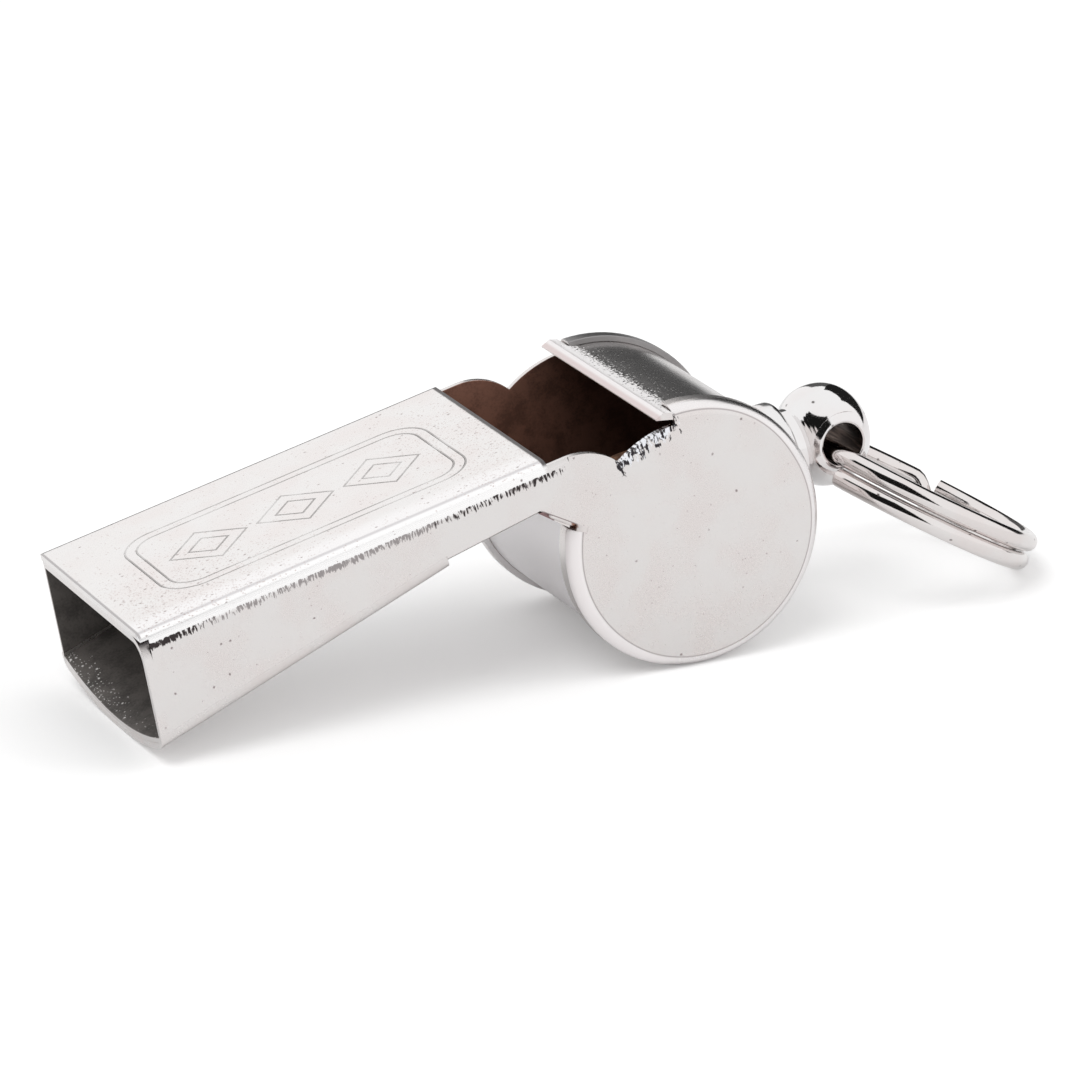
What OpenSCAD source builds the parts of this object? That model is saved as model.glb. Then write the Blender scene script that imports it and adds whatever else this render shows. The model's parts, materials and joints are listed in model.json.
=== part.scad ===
// Pea whistle in nickel-plated sheet brass, with a ring stud and a split ring.
// It is drawn with the barrel's axis at zero and the top plate level, and is then
// tipped to lie as it does on a table, on its barrel and the mouth's lower edge.

/* [Barrel] */
// Outside diameter over the rolled rims
rim_d = 19; // [17:0.5:24]
// Width over the two side plates
body_w = 19; // [15:0.5:24]
// Thickness of the side plates' sheet
side_t = 0.45; // [0.35:0.05:0.7]
// Thickness of the barrel band's sheet
band_t = 0.5; // [0.35:0.05:0.8]
// Outside radius of the rim's roll
rim_roll = 1.05; // [0.9:0.05:1.4]
// Reach of the rim over the band, from the side plate's face
rim_reach = 1.8; // [1.6:0.1:2.6]
// Angle where the rim starts, beside the lip
rim_start = 86; // [84:1:87]
// Angle where the rim ends, under the throat
rim_end = 155; // [148:1:160]

/* [Window] */
// From the barrel's axis to the edge of the lip
lip_x = 0.7; // [0.3:0.1:1.2]
// Length of the window, from the lip to the top plate
window_len = 8.3; // [7.5:0.1:9.5]
// Angle where the lip leaves the barrel's round and runs on straight
lip_from = 80; // [78:1:82]
// Rise of the lip over the barrel's round
lip_rise = 0.4; // [0.3:0.05:0.45]
// Slope of the bevel on the lip
lip_slope = 20; // [15:1:24]
// Width of the bevel on the lip
lip_bevel = 0.7; // [0.4:0.05:0.8]
// Thickness of the lip's edge
lip_edge = 0.09; // [0.06:0.01:0.2]
// Radius of the side plate's shoulder beside the window
shoulder_r = 4.4; // [4:0.1:6]
// Straight run of that shoulder past the top plate
shoulder_run = 1.4; // [0.5:0.1:1.8]
// Drop of that shoulder below the top plate
shoulder_drop = 0.3; // [0.1:0.05:0.4]

/* [Mouthpiece] */
// From the barrel's axis to the mouth's upper edge
mouth_len = 39.6; // [34:0.2:46]
// Height of the side plates at the mouth
mouth_h = 7.45; // [6.5:0.05:8.5]
// Rake of the mouth's end, lower edge forward
mouth_rake = 4.9; // [0:0.1:8]
// Rise of the underside, from the mouth to the shoe's end
floor_rise = 9.8; // [8:0.1:10.5]
// Rise of the underside, from there to the throat
throat_rise = 4.2; // [2:0.1:6]
// Length of the shoe under the mouthpiece
shoe_len = 22; // [16:0.5:24]
// From the barrel's axis to the throat's corner
throat_x = 10.4; // [9.8:0.1:11]
// Hollow of the floor between the side plates
floor_sag = 1.4; // [0.6:0.1:1.8]
// Thickness of the top plate
top_t = 0.45; // [0.3:0.05:0.7]
// Thickness of the ceiling under the top plate
ceiling_t = 0.45; // [0.3:0.05:0.7]
// Thickness of the windway's floor
floor_t = 0.35; // [0.25:0.05:0.6]
// Thickness of the shoe
shoe_t = 0.4; // [0.3:0.05:0.55]
// Outside radius of the shoe's rolled edge
shoe_roll = 1.1; // [0.8:0.05:1.3]
// Round-over along the near upper edge
edge_round = 0.8; // [0.5:0.05:0.9]
// Inside radius of the bend from near wall to ceiling
bend_r = 1.3; // [0.8:0.1:1.8]
// Depth of the open corner at the mouth, above that bend
corner_depth = 0.6; // [0.3:0.1:1.2]

/* [Ring stud] */
// Direction of the stud from the barrel's axis
stud_angle = -4.7; // [-12:0.1:5]
// Diameter of the base collar
base_d = 6.9; // [6:0.1:8]
// Height of the base collar over the band
base_h = 2.55; // [1.5:0.05:3.5]
// Diameter of the bead
bead_d = 7.3; // [6.6:0.1:8.4]
// Length of the bead along the stud
bead_len = 6; // [5.6:0.1:7]
// Radius of the bead's end domes
bead_dome = 4.5; // [4:0.1:6]
// Diameter of the neck between collar and bead
neck_d = 5.6; // [4.4:0.1:6.2]
// Diameter of the cross hole
hole_d = 3; // [2.9:0.1:3.4]
// Rounding of the cross hole's edges
hole_round = 0.5; // [0.3:0.05:0.6]
// Diameter of the tenon that holds the stud
tenon_d = 2.4; // [1.6:0.1:3]
// Radius of the fine turned grooves
groove_r = 0.1; // [0.06:0.01:0.14]
// Number of turned grooves
grooves = 3; // [1:1:4]

/* [Split ring] */
// Outside diameter of the ring
ring_d = 19.2; // [17.5:0.1:24]
// Diameter of its wire
wire_d = 1.15; // [0.9:0.05:1.2]
// Clear gap between the two layers of wire
layer_gap = 0.44; // [0.42:0.02:0.6]
// Drop of the wire under the cross hole's middle
wire_drop = 0.6; // [0.3:0.05:0.65]

/* [Pea] */
// Diameter of the cork pea
pea_d = 12; // [9:0.5:12.5]
// Clearance between the pea and the band
pea_gap = 0.3; // [0.2:0.05:0.6]
// Place of the pea across the barrel
pea_y = -1.5; // [-2:0.1:2]

/* [Hidden] */
$fn = 96;
cut = 3;         // overrun of every cut
fit = 0.03;      // clearance of the tenon in its holes, and of the rims beside the lip
rim = rim_d / 2;
half_w = body_w / 2;
inner_w = half_w - side_t;
band_w = half_w - rim_roll;      // the band's ends stay clear of the rims' bends
band_r = rim - side_t;
chamber_r = band_r - band_t;
disc_r = rim - rim_roll;
top_z = rim;
ceiling_z = top_z - top_t;
window_x = -lip_x - window_len;
shoulder_z = top_z - shoulder_drop;
bevel_top = [lip_bevel * cos(lip_slope) - lip_x, band_r + lip_rise];
lip_tip = [-lip_x, bevel_top[1] - lip_bevel * sin(lip_slope) - lip_edge];
lip_out = (band_r - fit) * [cos(lip_from), sin(lip_from)];
lip_in = (chamber_r - fit) * [cos(lip_from), sin(lip_from)];

// The floor of the mouthpiece: arcs about one axis, swept along the underside
arc_in = (inner_w * inner_w + floor_sag * floor_sag) / (2 * floor_sag);
arc_up = arc_in - floor_sag;
arc_mid = arc_in + floor_t;
arc_out = arc_mid + shoe_t;
roll_y = half_w - shoe_roll;
roll_v = arc_up - sqrt(pow(arc_out - shoe_roll, 2) - roll_y * roll_y);
edge_x = -mouth_len;
edge_z = top_z - mouth_h;
step_x = edge_x + shoe_len;
step_z = edge_z + shoe_len * tan(floor_rise);
throat_z = step_z + (-throat_x - step_x) * tan(throat_rise);
throat_run = -step_x - chamber_r / 2;    // from the step to well past the throat
corner_notch = 3;                // degrees between the wall and the rim's end
lip_clear = 0.5;                 // degrees between the lip's ends and the rims' start
leg_lap = 3;                     // degrees by which the leg runs into the band
wall_end = rim_end - corner_notch;
leg_w = band_t * 1.4;
leg_head = [-throat_x + leg_w / 2, throat_z];
leg_foot = chamber_r * [cos(rim_end), sin(rim_end)];

// The lowest point of the mouth, and the tilt at which it and the rims touch a table
low_v = arc_up - arc_out;
low_reach = (top_z - edge_z - low_v * cos(floor_rise)) * tan(mouth_rake)
    - low_v * sin(floor_rise);
low_back = low_reach / (1 - tan(floor_rise) * tan(mouth_rake));
low_x = edge_x - low_v * sin(floor_rise) - low_back;
low_z = edge_z + low_v * cos(floor_rise) - low_back * tan(floor_rise);
rest_tilt = asin(rim / norm([low_x, low_z])) - atan2(-low_z, -low_x);

// The stud, measured from the barrel's axis
base_top = band_r + base_h;
bead_at = base_top + bead_len / 2;
hole_x = bead_at * cos(stud_angle);
hole_z = bead_at * sin(stud_angle);
groove_from = asin(neck_d / 2 / bead_dome);
groove_step = 3.4;

// The split ring, hanging from the cross hole with its far end on the table
coil_r = (ring_d - wire_d) / 2;
layer = wire_d + layer_gap;
hang_in = bead_d * bead_d / (16 * coil_r);   // half the wire's bow inside the bead
hang_z = sin(rest_tilt) * hole_x + cos(rest_tilt) * hole_z + rim;
hang_x = cos(rest_tilt) * hole_x - sin(rest_tilt) * hole_z;
ring_reach = 2 * coil_r - hang_in;
ring_low = wire_drop + layer;
ring_dip = asin((hang_z - wire_d / 2) / norm([ring_reach, ring_low])) - atan2(ring_low, ring_reach);
first_turn = asin((bead_d / 2 + wire_d / 2) / coil_r);  // where the wire leaves the bead
lower_start = first_turn + 1;
upper_end = 642;
climb_from = 296;
climb_to = 338;
near_turn = 300;                 // degrees from which the wire can come near itself
far_turn = 420;
gap_step = 2;
ring_steps = 43;
wire_sides = 6;

// The middle of the whole part along the table
tail_x = hang_x + ring_reach * cos(ring_dip) - wire_drop * sin(ring_dip) + wire_d / 2;
mouth_x = cos(rest_tilt) * edge_x - sin(rest_tilt) * top_z;
mid_x = (tail_x + mouth_x) / 2;

pea_off = chamber_r - pea_gap - pea_d / 2;

nickel = [0.86, 0.85, 0.84];
bright = [0.93, 0.92, 0.91];
cork = [0.45, 0.28, 0.18];

// Tips the level whistle to its place on the table
module place() {
    translate([-mid_x, 0, rim])
        rotate([0, -rest_tilt, 0])
            children();
}

// A flat outline in X and Z, as a sheet from y0 to y1
module sheet_xz(y0, y1) {
    translate([0, y1, 0])
        rotate([90, 0, 0])
            linear_extrude(height = y1 - y0)
                children();
}

// A flat outline in Y and Z, swept forward along X from x0 for a length
module sweep_x(x0, len) {
    translate([x0, 0, 0])
        rotate([90, 0, 90])
            linear_extrude(height = len)
                children();
}

// All that lies behind the mouth's raked end, as a tool to cut with
module mouth_end() {
    translate([edge_x, 0, top_z])
        rotate([0, mouth_rake, 0])
            translate([-mouth_len, -body_w, -rim_d * 2])
                cube([mouth_len, body_w * 2, rim_d * 3]);
}

// Side view of the mouthpiece's wall, up to a given top edge
module wall_outline(edge_top) {
    polygon([
        [edge_x - mouth_h, edge_top],
        [edge_x - mouth_h, edge_z - mouth_h * tan(floor_rise) + roll_v / cos(floor_rise)],
        [step_x, step_z + roll_v / cos(floor_rise)],
        [step_x, step_z],
        [-throat_x, throat_z],
        band_r * [cos(wall_end), sin(wall_end)],
        [-lip_x, 0],
        [-lip_x, edge_top]
    ]);
}

// The whole side plate's flat: wall, shoulder beside the window, and disc
module side_outline() {
    circle(r = disc_r - side_t / 4);
    intersection() {
        wall_outline(ceiling_z);
        translate([window_x - mouth_len * 2, -rim_d])
            square([mouth_len * 2, rim_d * 2]);
    }
    intersection() {
        wall_outline(shoulder_z);
        union() {
            translate([window_x, -rim_d])
                square([shoulder_run, rim_d * 2]);
            intersection() {
                translate([window_x + shoulder_run, shoulder_z - shoulder_r])
                    circle(r = shoulder_r);
                translate([window_x + shoulder_run, -rim_d])
                    square([rim_d, rim_d * 2]);
            }
            translate([window_x, -rim_d])
                square([disc_r, rim_d + throat_z - shoulder_run]);
        }
    }
}

// The rolled rim and its flange, for the side plate whose face is at y = 0, inward +Y
module rolled_rim() {
    rotate([-90, 0, 0])
        rotate([0, 0, -rim_start])
            rotate_extrude(angle = rim_start + 360 - rim_end) {
                translate([disc_r, rim_roll])
                    intersection() {
                        difference() {
                            circle(r = rim_roll);
                            circle(r = rim_roll - side_t);
                        }
                        translate([0, -rim_roll])
                            square(rim_roll);
                    }
                translate([rim - side_t, rim_roll])
                    square([side_t, rim_reach - rim_roll]);
                translate([disc_r - side_t, 0])
                    square(side_t);
            }
}

// A side plate with its face at y = 0, inward +Y
module side_plate() {
    difference() {
        sheet_xz(0, side_t)
            side_outline();
        translate([0, -half_w, 0])
            mouth_end();
    }
    rolled_rim();
}

module near_round() {
    sweep_x(edge_x - mouth_h, mouth_len)
        translate([-half_w, top_z - edge_round])
            difference() {
                translate([-cut, 0])
                    square([edge_round + cut, edge_round + cut]);
                translate([edge_round, 0])
                    circle(r = edge_round);
                translate([edge_round, -edge_round])
                    square(edge_round + cut);
            }
}

// The open corner at the mouth, between the top plate and the bend below it
module open_corner() {
    bend_out = bend_r + side_t;
    intersection() {
        sweep_x(edge_x - mouth_h, mouth_h * 2)
            difference() {
                translate([-half_w - cut, ceiling_z - bend_out])
                    square([bend_out + cut, bend_out]);
                translate([-half_w + bend_out, ceiling_z - bend_out])
                    circle(r = bend_out);
            }
        translate([corner_depth, 0, 0])
            mouth_end();
    }
}

// Cover of the mouthpiece, let in between the side plates' shoulders
module top_plate() {
    color(bright)
        place()
            difference() {
                sweep_x(edge_x - mouth_h, window_x - edge_x + mouth_h)
                    translate([-half_w, ceiling_z])
                        square([body_w, top_t]);
                mouth_end();
                near_round();
            }
}

// Near wall and disc; its upper edge is bent over and is the windway's ceiling
module near_side_plate() {
    color(nickel)
        place()
            difference() {
                union() {
                    translate([0, -half_w, 0])
                        side_plate();
                    difference() {
                        sweep_x(edge_x - mouth_h, window_x - edge_x + mouth_h) {
                            translate([-inner_w, ceiling_z - ceiling_t])
                                square([inner_w * 2, ceiling_t]);
                            translate([-inner_w, ceiling_z - ceiling_t - bend_r])
                                difference() {
                                    square(bend_r);
                                    translate([bend_r, 0])
                                        circle(r = bend_r);
                                }
                        }
                        mouth_end();
                    }
                }
                near_round();
                open_corner();
            }
}

// Far wall and disc, a flat plate with the same rim
module far_side_plate() {
    color(nickel)
        place()
            translate([0, half_w, 0])
                mirror([0, 1, 0])
                    side_plate();
}

// Band of the barrel, from the lip round to the throat, with its leg up to the floor
module barrel_band() {
    color(nickel)
        place()
            difference() {
                union() {
                    difference() {
                        sheet_xz(-half_w, half_w) {
                            band_outline();
                            leg_outline();
                        }
                        rim_room();
                        mirror([0, 1, 0])
                            rim_room();
                    }
                    sheet_xz(-inner_w, inner_w)
                        difference() {
                            leg_outline();
                            circle(r = rim);
                        }
                }
                floor_run(0, step_x, step_z, throat_rise, throat_run)
                    floor_section(arc_mid);
                stud_axis()
                    cylinder(d = tenon_d + fit * 2, h = rim_d);
            }
}

// The room that the far rim needs, all round but at the lip
module rim_room() {
    ray = [cos(rim_start + lip_clear), sin(rim_start + lip_clear)];
    past_lip = [cos(lip_from - lip_clear * 4), sin(lip_from - lip_clear * 4)];
    sheet_xz(band_w, body_w)
        difference() {
            circle(r = rim_d);
            polygon([[0, 0], rim_d * 2 * ray, [-rim_d, rim_d * 2]]);
        }
    sheet_xz(half_w - rim_reach - fit, body_w)
        polygon([band_r * ray, band_r * past_lip, rim_d * past_lip, rim_d * ray]);
}

// Side view of the leg between band and floor
module leg_outline() {
    polygon([
        (band_r + chamber_r) / 2 * [cos(rim_end + leg_lap), sin(rim_end + leg_lap)],
        band_r * [cos(rim_end), sin(rim_end)],
        leg_head - [leg_w, 0],
        leg_head,
        leg_foot
    ]);
}

// Side view of the band, open at the window, with a straight and bevelled lip
module band_outline() {
    difference() {
        union() {
            circle(r = band_r);
            polygon([[0, 0], lip_out, bevel_top * 2 - lip_out]);
        }
        circle(r = chamber_r);
        polygon([[0, 0], lip_in, lip_tip * 2 - lip_in]);
        polygon([
            [-lip_x, 0],
            [-lip_x, rim_d],
            [-rim_d, rim_d],
            [rim_d * cos(rim_end), rim_d * sin(rim_end)],
            [0, 0]
        ]);
        translate(bevel_top)
            rotate(lip_slope)
                translate([-rim, 0])
                    square([rim_d, rim]);
    }
}

// Section over an arc of the floor, up to well above it
module floor_section(arc_r) {
    intersection() {
        translate([0, arc_up])
            circle(r = arc_r);
        translate([-half_w, -mouth_h])
            square([body_w, mouth_h * 2]);
    }
}

// Carries a section along the underside from a point, at a rise, for a length
module floor_run(back, x, z, rise, len) {
    translate([x, 0, z])
        rotate([0, -rise, 0])
            sweep_x(-back, len + back)
                children();
}

// Floor of the windway, a thin hollowed plate bent where the shoe ends
module windway_floor() {
    bisect = (floor_rise + throat_rise) / 2;
    color(bright)
        place() {
            difference() {
                floor_run(0, edge_x - mouth_h, edge_z - mouth_h * tan(floor_rise), floor_rise,
                        (shoe_len + mouth_h) / cos(floor_rise) + floor_sag)
                    floor_sheet();
                mouth_end();
                translate([step_x, 0, step_z])
                    rotate([0, -bisect, 0])
                        translate([0, -body_w, -mouth_h])
                            cube([mouth_h, body_w * 2, mouth_h * 2]);
            }
            difference() {
                floor_run(floor_sag, step_x, step_z, throat_rise, throat_run)
                    floor_sheet();
                translate([step_x, 0, step_z])
                    rotate([0, -bisect, 0])
                        translate([-mouth_h, -body_w, -mouth_h])
                            cube([mouth_h, body_w * 2, mouth_h * 2]);
                sheet_xz(-half_w, half_w)
                    polygon([
                        leg_head * 2 - leg_foot,
                        leg_foot * 2 - leg_head,
                        [0, 0],
                        [0, rim_d]
                    ]);
            }
        }
}

module floor_sheet() {
    intersection() {
        difference() {
            translate([0, arc_up])
                circle(r = arc_mid);
            translate([0, arc_up])
                circle(r = arc_in);
        }
        translate([-inner_w, -mouth_h])
            square([inner_w * 2, mouth_h * 2]);
        shoe_section(shoe_t);
    }
}

// The shoe's section, drawn in from its outside by an inset
module shoe_section(inset) {
    arc_r = arc_out - inset;
    roll = shoe_roll - inset;
    tangent_y = roll_y * arc_r / (arc_out - shoe_roll);
    intersection() {
        translate([0, arc_up])
            circle(r = arc_r);
        translate([-tangent_y, -mouth_h])
            square([tangent_y * 2, mouth_h + roll_v]);
    }
    for (side = [-1, 1])
        translate([side * roll_y, roll_v])
            circle(r = roll);
    translate([-half_w + inset, roll_v])
        square([body_w - inset * 2, mouth_h]);
}

// Outer shoe under the mouthpiece, with rolled edges up to the side plates
module mouth_shoe() {
    color(nickel)
        place()
            difference() {
                floor_run(0, edge_x - mouth_h, edge_z - mouth_h * tan(floor_rise), floor_rise,
                        (shoe_len + mouth_h) / cos(floor_rise))
                    difference() {
                        shoe_section(0);
                        shoe_section(shoe_t);
                        translate([-body_w, roll_v])
                            square([body_w * 2, mouth_h * 2]);
                    }
                mouth_end();
            }
}

// Turns Z out along the stud from the barrel's axis
module stud_axis() {
    rotate([0, 90 - stud_angle, 0])
        children();
}

// Saddle collar between the band and the bead
module stud_base() {
    color(nickel)
        place()
            difference() {
                stud_axis()
                    cylinder(d = base_d, h = base_top);
                rotate([90, 0, 0])
                    cylinder(r = band_r, h = body_w, center = true);
                stud_axis()
                    cylinder(d = tenon_d + fit * 2, h = rim_d);
            }
}

// Turned bead with neck, tenon and a rounded cross hole for the ring
module ring_stud() {
    color(bright)
        place()
            stud_axis()
                difference() {
                    union() {
                        translate([0, 0, chamber_r])
                            cylinder(d = tenon_d, h = bead_at - chamber_r);
                        translate([0, 0, base_top])
                            cylinder(d = neck_d, h = bead_len / 2);
                        translate([0, 0, bead_at])
                            bead();
                    }
                    translate([0, 0, bead_at])
                        rotate([90, 0, 0])
                            cross_hole();
                }
}

// The bead about its middle: a ball with blunter domes at both ends, and fine grooves
module bead() {
    dome_at = bead_dome - bead_len / 2;
    difference() {
        intersection() {
            sphere(d = bead_d);
            translate([0, 0, dome_at])
                sphere(r = bead_dome);
            translate([0, 0, -dome_at])
                sphere(r = bead_dome);
        }
        for (i = [1 : grooves])
            translate([0, 0, dome_at])
                rotate_extrude()
                    rotate(groove_from + i * groove_step - 90)
                        translate([bead_dome, 0])
                            circle(r = groove_r, $fn = 4);
    }
}

// The hole's tool along Z, with flared ends where it meets the ball
module cross_hole() {
    mouth_r = hole_d / 2 + hole_round;
    flare_at = sqrt(pow(bead_d / 2, 2) - mouth_r * mouth_r) + hole_round / 5;
    rotate_extrude() {
        translate([0, -bead_d])
            square([hole_d / 2, bead_d * 2]);
        for (end = [0, 1])
            mirror([0, end])
                translate([0, flare_at])
                    difference() {
                        translate([0, -hole_round])
                            square([mouth_r, hole_round + cut]);
                        translate([mouth_r, -hole_round])
                            circle(r = hole_round);
                    }
    }
}

// Height of the wire over the ring's level through the hole, at an angle round the ring
function climb(a) =
    let (t = min(1, max(0, (a - climb_from) / (climb_to - climb_from))))
    -wire_drop - layer * (1 - t * t * (3 - 2 * t));

// A point on the wire's middle line: +X from the hole to the far end, near side at -Y
function wire_at(a) = [
    coil_r * (1 - cos(a)) - hang_in,
    -coil_r * sin(a),
    climb(a)
];

function turn_at(i) = lower_start + (upper_end - lower_start) * i / ring_steps;

wire_points = [
    for (i = [0 : ring_steps], j = [0 : wire_sides - 1])
        let (a = turn_at(i), b = 360 * j / wire_sides)
        wire_at(a) + wire_d / 2 * [cos(b) * -cos(a), cos(b) * -sin(a), sin(b)]
];

wire_faces = [
    for (i = [0 : ring_steps - 1], j = [0 : wire_sides - 1], half = [0, 1])
        let (
            p = i * wire_sides + j,
            q = i * wire_sides + (j + 1) % wire_sides
        )
        half == 0 ? [p, q, q + wire_sides] : [p, q + wire_sides, p + wire_sides],
    for (j = [1 : wire_sides - 2])
        [0, j + 1, j],
    for (j = [1 : wire_sides - 2])
        let (last = ring_steps * wire_sides)
        [last, last + j, last + j + 1]
];

// The least gap of the wire to itself, between points most of a turn apart
ring_gap = min([
    for (a = [lower_start : upper_end - near_turn])
        for (b = [a + near_turn : gap_step : min(a + far_turn, upper_end)])
        norm(wire_at(a) - wire_at(b)) - wire_d
]);
echo(split_ring_gap = ring_gap);

// Split ring: one wire in two layers, that climbs from one to the other beside the hole
module split_ring() {
    color(bright)
        place()
            translate([hole_x, 0, hole_z])
                rotate([0, ring_dip + rest_tilt, 0])
                    polyhedron(points = wire_points, faces = wire_faces, convexity = 6);
}

// Cork pea, lying at the bottom of the barrel
module cork_pea() {
    color(cork)
        place()
            rotate([0, rest_tilt, 0])
                translate([0, pea_y, -pea_off])
                    sphere(d = pea_d);
}

top_plate();
near_side_plate();
far_side_plate();
barrel_band();
windway_floor();
mouth_shoe();
stud_base();
ring_stud();
split_ring();
cork_pea();
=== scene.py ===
import json
import math

import bmesh
import bpy
from bpy.props import FloatProperty, FloatVectorProperty, IntProperty, PointerProperty
from mathutils import Matrix, Vector, noise


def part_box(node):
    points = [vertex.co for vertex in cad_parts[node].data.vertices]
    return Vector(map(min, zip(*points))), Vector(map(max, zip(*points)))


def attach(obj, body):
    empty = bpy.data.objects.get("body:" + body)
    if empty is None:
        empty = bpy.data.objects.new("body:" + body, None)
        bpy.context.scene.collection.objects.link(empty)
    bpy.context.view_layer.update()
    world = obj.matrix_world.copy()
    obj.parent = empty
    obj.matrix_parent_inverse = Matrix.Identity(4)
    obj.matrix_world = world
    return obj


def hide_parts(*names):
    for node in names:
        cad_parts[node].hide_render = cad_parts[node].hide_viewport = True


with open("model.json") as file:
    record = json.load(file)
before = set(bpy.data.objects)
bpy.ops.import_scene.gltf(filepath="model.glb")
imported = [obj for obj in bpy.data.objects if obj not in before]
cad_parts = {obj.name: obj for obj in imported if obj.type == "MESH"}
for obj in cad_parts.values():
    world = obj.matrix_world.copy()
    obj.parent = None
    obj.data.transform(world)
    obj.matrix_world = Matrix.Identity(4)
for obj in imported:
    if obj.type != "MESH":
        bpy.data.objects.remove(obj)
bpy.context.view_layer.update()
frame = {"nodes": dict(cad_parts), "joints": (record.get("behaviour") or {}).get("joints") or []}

bl_info = {
    "name": "Pea Whistle",
    "version": (1, 0, 0),
    "blender": (4, 5, 0),
    "location": "3D View > Sidebar > Whistle",
    "description": "Builds a nickel-plated pea whistle with its stud, split ring and cork pea",
    "category": "Add Mesh",
}

JOINTS = {joint["name"]: joint for joint in frame["joints"]}
BARREL = Vector(JOINTS["pea_roll"]["pos_m"])
HOLE = Vector(JOINTS["ring_swing"]["pos_m"])
MM = 0.001
SHARP = math.radians(30)  # edges bent by more than this are sharp

# The level whistle, in millimetres from the barrel's axis: X to the back, Y to the far side, Z up
WALL_OUT, WALL_IN = 9.5, 9.05  # the side plates' faces, and the top plate's upper and lower face
MOUTH_X, MOUTH_RAKE = -40.414, 0.0857  # the mouth's end on a level with the axis, and its slope
WINDOW_X = -9.05  # where the top plate ends and the window starts
BEND_Y, BEND_Z, BEND_R = -7.75, 7.3, 1.95  # middle and radius of the bend along the near edge


# ---------------------------------------------------------------- sizes and colours

def length(name, description, millimetres):
    return FloatProperty(
        name=name, description=description, default=millimetres * MM, unit="LENGTH", precision=5)


def angle(name, description, degrees):
    return FloatProperty(name=name, description=description, default=math.radians(degrees), subtype="ANGLE")


def tint(name, description, value):
    return FloatVectorProperty(
        name=name, description=description, subtype="COLOR", size=3, min=0, max=1, default=value)


class WhistleSizes(bpy.types.PropertyGroup):
    tilt: angle("Tilt", "Angle of the top plate as the whistle lies, mouth down", 13.1951)
    edge: length("Edge", "Width of the soft edges of the sheet metal", 0.07)
    front_edge: length("Front edge", "Width of the rounded edges round the mouth", 0.26)
    bead_d: length("Bead", "Diameter of the stud's bead", 7.3)
    bead_len: length("Bead length", "Length of the bead along the stud", 6)
    neck_d: length("Neck", "Diameter of the neck under the bead", 5.2)
    hole_d: length("Cross hole", "Diameter of the hole that the ring passes", 3)
    collar_d: length("Collar", "Diameter of the collar between barrel and bead", 6.9)
    band_r: length("Barrel radius", "Outside radius of the barrel's band", 9.05)
    ring_d: length("Ring", "Outside diameter of the split ring", 19.2)
    wire_d: length("Wire", "Diameter of the ring's wire", 1.36)
    ring_pitch: length("Ring pitch", "Distance between the ring's two turns", 1.44)
    ring_drop: length("Ring drop", "Drop of the ring's middle plane below the cross hole", 1.45)
    ring_start: angle("Ring start", "Angle round the ring, from the cross hole, of the lower cut end", 24)
    ring_end: angle("Ring end", "Angle round the ring, past one turn, of the upper cut end", 228)
    ring_dip: angle("Ring dip", "Angle by which the ring hangs to the table", 31.4022)
    pea_lumps: length("Pea lumps", "Depth of the cork pea's lumps", 0.12)
    lens: FloatProperty(name="Lens", description="Focal length of the camera", default=234.6, unit="CAMERA")


class WhistleFinish(bpy.types.PropertyGroup):
    plate: tint("Nickel plate", "Colour of the sheet metal", (0.80, 0.775, 0.765))
    cover: tint("Top plate", "Colour of the top plate", (0.86, 0.84, 0.83))
    stud: tint("Stud", "Colour of the polished stud", (0.86, 0.85, 0.85))
    wire: tint("Ring wire", "Colour of the ring", (0.80, 0.77, 0.76))
    tarnish: tint("Tarnish", "Colour of the bare metal in the barrel", (0.35, 0.175, 0.125))
    windway: tint("Windway", "Colour of the bare metal inside the mouth", (0.16, 0.145, 0.135))
    cork: tint("Cork", "Colour of the pea", (0.42, 0.22, 0.13))
    pit: tint("Pits", "Colour in the plating's pits", (0.10, 0.085, 0.08))
    wear: FloatProperty(
        name="Wear", description="How strongly the plating is pitted", default=1.0, min=0, max=2,
        subtype="FACTOR")
    engraving: IntProperty(
        name="Lozenges", description="Number of lozenges engraved on the top plate", default=3, min=1, max=5)


def sizes():
    return bpy.context.scene.whistle_sizes


def finish():
    return bpy.context.scene.whistle_finish


def place():
    """Turns the level whistle, with the barrel's axis at zero, to where it lies."""
    return Matrix.Translation(BARREL) @ Matrix.Rotation(-sizes().tilt, 4, "Y")


def stud_place():
    """Turns Z out along the stud, from the barrel's axis."""
    out = (HOLE - BARREL).normalized()
    return Matrix.Translation(BARREL) @ out.to_track_quat("Z", "Y").to_matrix().to_4x4()


# ---------------------------------------------------------------- shader helpers

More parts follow.
